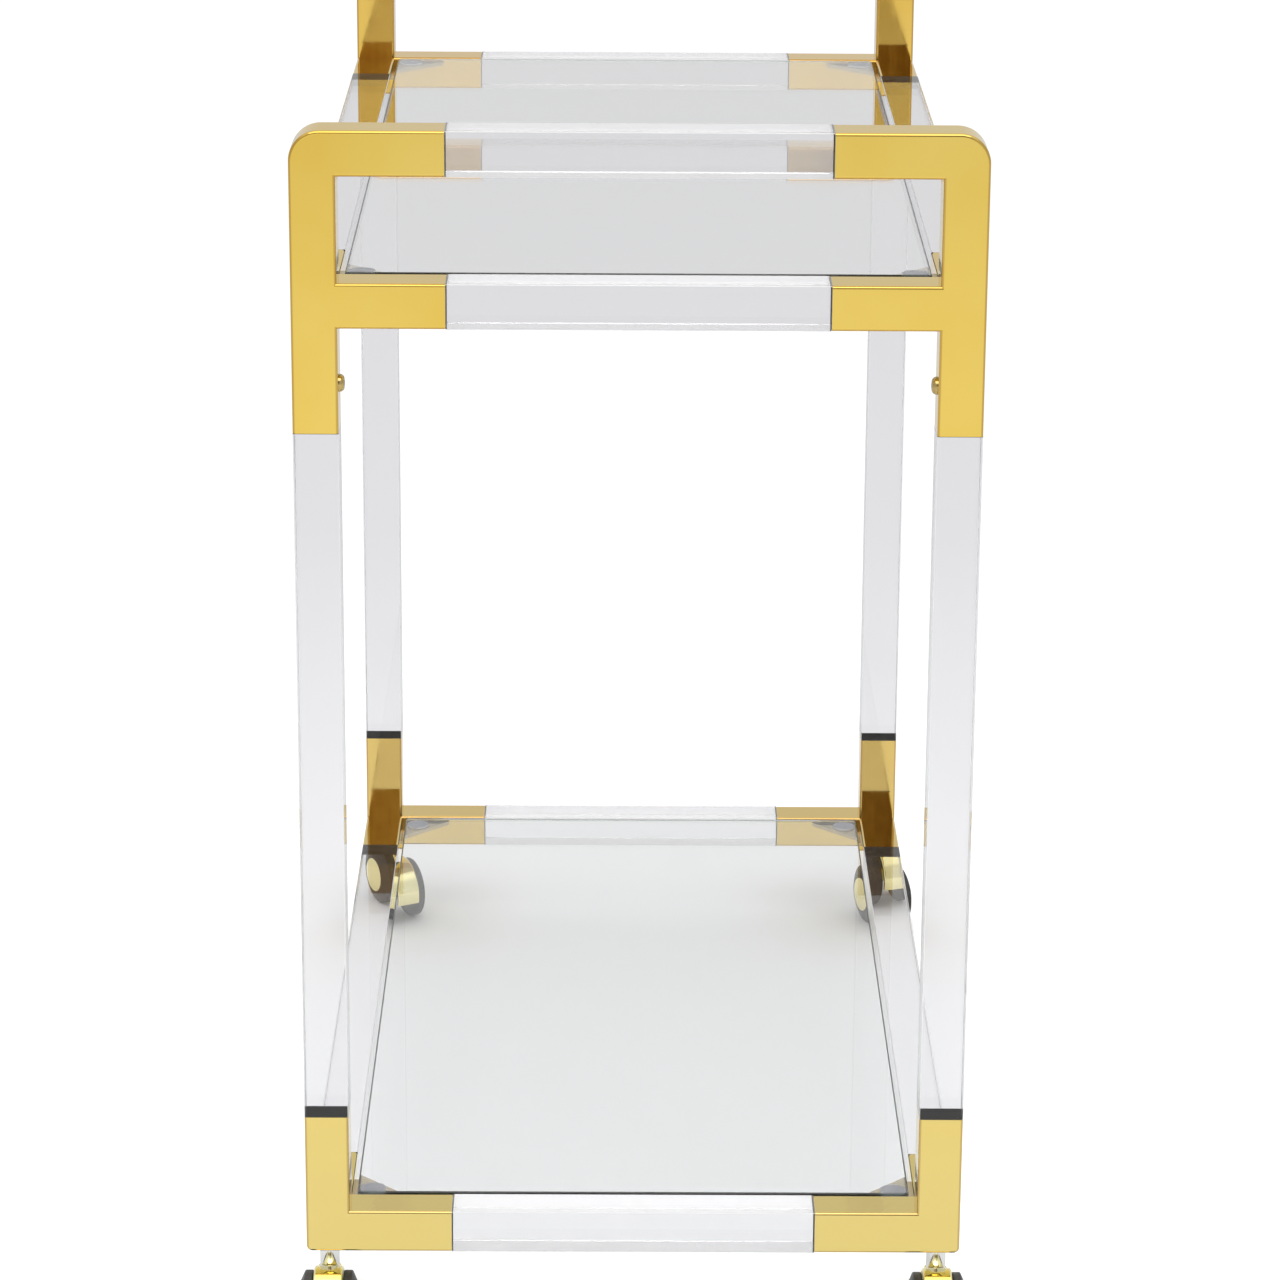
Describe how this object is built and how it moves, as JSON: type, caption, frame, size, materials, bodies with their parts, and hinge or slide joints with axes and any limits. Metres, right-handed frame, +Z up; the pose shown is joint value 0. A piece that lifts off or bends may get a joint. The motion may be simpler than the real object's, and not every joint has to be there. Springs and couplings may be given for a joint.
{
  "type": "bar cart",
  "caption": "Two-tier bar cart: clear acrylic bars in square brass brackets, inset glass shelves, end handles and hooded twin-wheel swivel casters.",
  "frame": {"origin": "on the floor, under the middle of the whole cart with its casters as they stand", "axes": "+Z up, Y along the cart with -Y at the near end that faces the viewer, X across it with +X to the viewer's right"},
  "size_m": [0.4717, 0.861, 0.848],
  "materials": {
    "gold": "polished brass plate over steel tube",
    "acrylic": "clear cast acrylic, polished",
    "upper_glass": "clear tempered glass",
    "lower_glass": "clear tempered glass",
    "plug": "dark moulded plastic",
    "bolt": "polished brass plate",
    "insert": "machined brass",
    "tab": "brass plate",
    "pad": "translucent silicone",
    "stem": "polished steel",
    "zinc": "zinc plated steel",
    "hood": "polished brass plate",
    "axle": "turned steel",
    "wheel": "moulded dark grey tread",
    "hub_cap": "polished brass plate"
  },
  "bodies": {
    "frame": {"caster_stems": "stem", "handle_bar_far": "acrylic", "handle_bar_near": "acrylic", "leg_bolt_inserts": "insert", "leg_bolts": "bolt", "leg_far_left": "acrylic", "leg_far_right": "acrylic", "leg_near_left": "acrylic", "leg_near_right": "acrylic", "leg_plugs": "plug", "lower_bracket_far_left": "gold", "lower_bracket_far_right": "gold", "lower_bracket_near_left": "gold", "lower_bracket_near_right": "gold", "lower_cross_rail_far": "acrylic", "lower_cross_rail_near": "acrylic", "lower_shelf_glass": "lower_glass", "lower_shelf_pads": "pad", "lower_shelf_tabs": "tab", "lower_side_rail_left": "acrylic", "lower_side_rail_right": "acrylic", "rail_plugs": "plug", "stem_clips": "zinc", "stem_nuts": "zinc", "upper_bracket_far_left": "gold", "upper_bracket_far_right": "gold", "upper_bracket_near_left": "gold", "upper_bracket_near_right": "gold", "upper_cross_rail_far": "acrylic", "upper_cross_rail_near": "acrylic", "upper_shelf_glass": "upper_glass", "upper_shelf_pads": "pad", "upper_shelf_tabs": "tab", "upper_side_rail_left": "acrylic", "upper_side_rail_right": "acrylic"},
    "caster_near_left": {"caster_hood_near_left": "hood", "caster_axle_near_left": "axle"},
    "wheel_left_near_left": {"wheel_left_near_left": "wheel", "hub_cap_left_near_left": "hub_cap"},
    "wheel_right_near_left": {"wheel_right_near_left": "wheel", "hub_cap_right_near_left": "hub_cap"},
    "caster_near_right": {"caster_hood_near_right": "hood", "caster_axle_near_right": "axle"},
    "wheel_left_near_right": {"wheel_left_near_right": "wheel", "hub_cap_left_near_right": "hub_cap"},
    "wheel_right_near_right": {"wheel_right_near_right": "wheel", "hub_cap_right_near_right": "hub_cap"},
    "caster_far_left": {"caster_hood_far_left": "hood", "caster_axle_far_left": "axle"},
    "wheel_left_far_left": {"wheel_left_far_left": "wheel", "hub_cap_left_far_left": "hub_cap"},
    "wheel_right_far_left": {"wheel_right_far_left": "wheel", "hub_cap_right_far_left": "hub_cap"},
    "caster_far_right": {"caster_hood_far_right": "hood", "caster_axle_far_right": "axle"},
    "wheel_left_far_right": {"wheel_left_far_right": "wheel", "hub_cap_left_far_right": "hub_cap"},
    "wheel_right_far_right": {"wheel_right_far_right": "wheel", "hub_cap_right_far_right": "hub_cap"}
  },
  "joints": [
    {"name": "swivel_near_left", "type": "hinge", "parent": "frame", "child": "caster_near_left", "pos_m": [-0.216, -0.386, 0.056], "axis": [0, 0, 1], "continuous": true},
    {"name": "spin_left_near_left", "type": "hinge", "parent": "caster_near_left", "child": "wheel_left_near_left", "pos_m": [-0.216, -0.404, 0.025], "axis": [1, 0, 0], "continuous": true},
    {"name": "spin_right_near_left", "type": "hinge", "parent": "caster_near_left", "child": "wheel_right_near_left", "pos_m": [-0.216, -0.404, 0.025], "axis": [1, 0, 0], "continuous": true},
    {"name": "swivel_near_right", "type": "hinge", "parent": "frame", "child": "caster_near_right", "pos_m": [0.204, -0.386, 0.056], "axis": [0, 0, 1], "continuous": true},
    {"name": "spin_left_near_right", "type": "hinge", "parent": "caster_near_right", "child": "wheel_left_near_right", "pos_m": [0.204, -0.404, 0.025], "axis": [1, 0, 0], "continuous": true},
    {"name": "spin_right_near_right", "type": "hinge", "parent": "caster_near_right", "child": "wheel_right_near_right", "pos_m": [0.204, -0.404, 0.025], "axis": [1, 0, 0], "continuous": true},
    {"name": "swivel_far_left", "type": "hinge", "parent": "frame", "child": "caster_far_left", "pos_m": [-0.216, 0.414, 0.056], "axis": [0, 0, 1], "continuous": true},
    {"name": "spin_left_far_left", "type": "hinge", "parent": "caster_far_left", "child": "wheel_left_far_left", "pos_m": [-0.20755, 0.39811, 0.025], "axis": [0.8829, 0.4695, 0], "continuous": true},
    {"name": "spin_right_far_left", "type": "hinge", "parent": "caster_far_left", "child": "wheel_right_far_left", "pos_m": [-0.20755, 0.39811, 0.025], "axis": [0.8829, 0.4695, 0], "continuous": true},
    {"name": "swivel_far_right", "type": "hinge", "parent": "frame", "child": "caster_far_right", "pos_m": [0.204, 0.414, 0.056], "axis": [0, 0, 1], "continuous": true},
    {"name": "spin_left_far_right", "type": "hinge", "parent": "caster_far_right", "child": "wheel_left_far_right", "pos_m": [0.21016, 0.39709, 0.025], "axis": [0.9397, 0.342, 0], "continuous": true},
    {"name": "spin_right_far_right", "type": "hinge", "parent": "caster_far_right", "child": "wheel_right_far_right", "pos_m": [0.21016, 0.39709, 0.025], "axis": [0.9397, 0.342, 0], "continuous": true}
  ]
}
